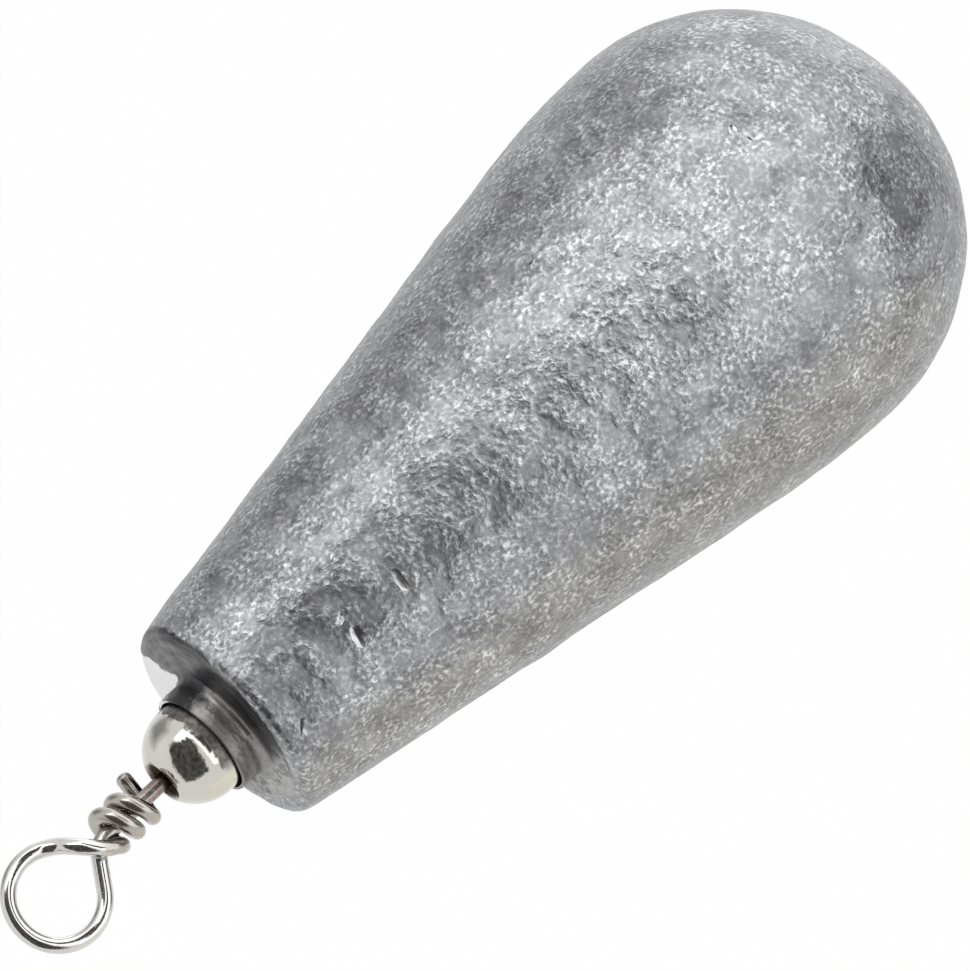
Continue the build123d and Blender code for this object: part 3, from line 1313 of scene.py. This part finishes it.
@dataclass
class Studio:
    """White surroundings with a pale floor, soft lamps, and cards for the metal to reflect."""

    camera: PhotoCamera
    floor_z: float = -500.0
    floor_size: float = 8000.0
    floor_sides: int = 96
    floor_colour: tuple = (0.9, 0.9, 0.9, 1)
    floor_glow: float = 0.97
    fill: float = 0.9
    folds: float = 9.0
    fold_spread: tuple = (0.35, 0.65)
    fold_dark: float = 0.6
    fold_light: float = 0.8
    fold_ragged: float = 0.06
    card_edge: float = 0.49
    lamps: tuple = (
        Lamp("broad_lamp", 52, 47, 300, (900, 480), 0.76),
        Lamp("left_lamp", 38, 322, 300, (170, 200), 2.2),
        Lamp("nose_lamp", 122, 14, 300, (300, 260), 0.6),
    )
    cards: tuple = (
        Card("room_card", 23.5, 218, 100, (245, 150), 0.09, 0.2, 1.0, -18, (0, 0, -4), False),
        Card("strip_card", 34, 34, 60, (80, 17), 0.08, 0.12, 0.3, 0, (0, 0, -6), False),
        Card("left_card", 104, 299, 300, (320, 340), 0.33, 0.7),
        Card("nose_card", 93, 73, 240, (240, 220), 0.22, 0.6),
        Card("warm_card", 112, 137, 320, (360, 460), 1.0, 0.5, tint=(1, 0.985, 0.87)),
    )

    def build(self) -> None:
        """Make the world, floor, lamps and cards."""
        self.world()
        self.floor()
        for lamp in self.lamps:
            self.light(lamp)
        for card in self.cards:
            self.hang(card)

    def seen_white(self, graph: Graph) -> Socket:
        """1 for rays that show the background, and 0 for rays that only light the object.

        Args:
            graph: The tree of the background.

        Returns:
            The value socket.
        """
        path = graph.node("ShaderNodeLightPath")
        seen = graph.math("MAXIMUM", path.outputs["Is Camera Ray"], path.outputs["Is Glossy Ray"])
        return graph.math("MAXIMUM", seen, path.outputs["Is Transmission Ray"])

    def world(self) -> None:
        """White background over an even fill."""
        world = bpy.data.worlds.new("white_studio")
        bpy.context.scene.world = world
        graph = Graph(world)
        strength = graph.range(self.seen_white(graph), 0, 1, self.fill, 1.0)
        light = graph.node("ShaderNodeBackground", {"Color": (1, 1, 1, 1), "Strength": strength})
        graph.node("ShaderNodeOutputWorld", {"Surface": light.outputs[0]})

    def floor(self) -> None:
        """Pale floor below the hanging object."""
        clear_selection()
        bpy.ops.mesh.primitive_circle_add(vertices=self.floor_sides, radius=self.floor_size / 2 * MM,
                                          fill_type="NGON", location=(0, 0, self.floor_z * MM))
        floor = bpy.context.active_object
        floor.name = "studio_floor"
        paper = bpy.data.materials.new("pale_floor")
        graph = Graph(paper)
        matt = graph.node("ShaderNodeBsdfDiffuse", {"Color": self.floor_colour})
        glow = graph.node("ShaderNodeEmission", {"Color": (1, 1, 1, 1), "Strength": 1.0})
        share = graph.times(self.seen_white(graph), self.floor_glow)
        mixed = graph.node("ShaderNodeMixShader", {0: share, 1: matt.outputs[0], 2: glow.outputs[0]})
        graph.node("ShaderNodeOutputMaterial", {"Surface": mixed.outputs[0]})
        floor.data.materials.append(paper)

    def light(self, lamp: Lamp) -> None:
        """Set up a lamp.

        Args:
            lamp: The lamp.
        """
        light = bpy.data.lights.new(lamp.name, "AREA")
        light.shape = "RECTANGLE"
        light.size = lamp.size[0] * MM
        light.size_y = lamp.size[1] * MM
        light.energy = lamp.glow * math.pi * light.size * light.size_y
        made = bpy.data.objects.new(lamp.name, light)
        self.put(made, lamp, self.camera.target())
        bpy.context.scene.collection.objects.link(made)

    def hang(self, card: Card) -> None:
        """Hang a card where only its reflection and its shade show.

        Args:
            card: The card.
        """
        clear_selection()
        bpy.ops.mesh.primitive_plane_add(size=MM)
        made = bpy.context.active_object
        made.name = card.name
        made.scale = (card.size[0], card.size[1], 1)
        aim = self.camera.target() if card.aim is None else Vector(card.aim) * MM
        self.put(made, card, aim, card.turn)
        made.data.materials.append(self.cloth(card))
        made.visible_camera = False
        made.visible_shadow = card.shades
        made.visible_diffuse = card.shades

    def cloth(self, card: Card) -> Finish:
        """Creased cloth of a card, which thins out at its edges.

        Args:
            card: The card.

        Returns:
            The material.
        """
        made = bpy.data.materials.new(card.name)
        graph = Graph(made)
        place = graph.node("ShaderNodeTexCoord").outputs["Object"]
        x, y, _ = graph.parts(place)
        folds = graph.noise(place, MM / self.folds, 3)
        low = Vector(card.tint) * card.tone * (1 - self.fold_dark * card.creases)
        high = Vector(card.tint) * card.tone * (1 + self.fold_light * card.creases)
        colour = graph.blend(graph.range(folds, *self.fold_spread), (*low, 1), (*high, 1))
        reach = graph.math("MAXIMUM", graph.math("ABSOLUTE", x), graph.math("ABSOLUTE", y))
        ragged = self.fold_ragged * card.creases * MM
        edge = graph.plus(reach, graph.swell(folds, -ragged, ragged))
        solid = graph.range(edge, (1 - card.fade) / 2 * MM, self.card_edge * MM, 1, 0)
        matt = graph.node("ShaderNodeBsdfDiffuse", {"Color": colour})
        clear = graph.node("ShaderNodeBsdfTransparent")
        mixed = graph.node("ShaderNodeMixShader", {0: solid, 1: clear.outputs[0], 2: matt.outputs[0]})
        graph.node("ShaderNodeOutputMaterial", {"Surface": mixed.outputs[0]})
        return made

    def put(self, made: Piece, stand: Stand, aim: Vector, turn: float = 0.0) -> None:
        """Put a lamp or card in its place, facing a point and square to the object's axis.

        Args:
            made: The lamp or card.
            stand: Where it stands.
            aim: The point that it faces.
            turn: Degrees that it is turned by in its own plane.
        """
        way = self.camera.bearing(stand.angle, stand.clock)
        side = Vector((1, 0, 0))
        across = (side - way * side.dot(way)).normalized()
        facing = Matrix((across, way.cross(across), way)).transposed().to_quaternion()
        made.rotation_mode = "QUATERNION"
        made.rotation_quaternion = facing @ Quaternion((0, 0, 1), math.radians(turn))
        made.location = aim + way * stand.distance * MM


def main() -> None:
    """Build the scene."""
    logging.basicConfig(level=logging.INFO, format="%(name)s: %(message)s")
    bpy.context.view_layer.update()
    bpy.context.scene.view_settings.view_transform = "Standard"
    camera = PhotoCamera()
    camera.build()
    Studio(camera).build()
    barrel = SwivelBarrel()
    wire = WireEye()
    LeadCasting().build(barrel, wire, [CastLead().material(), NickedLead().material()])
    barrel.build(BrightNickel().material())
    wire.build(barrel, PolishedWire().material())


if __name__ == "__main__":
    main()
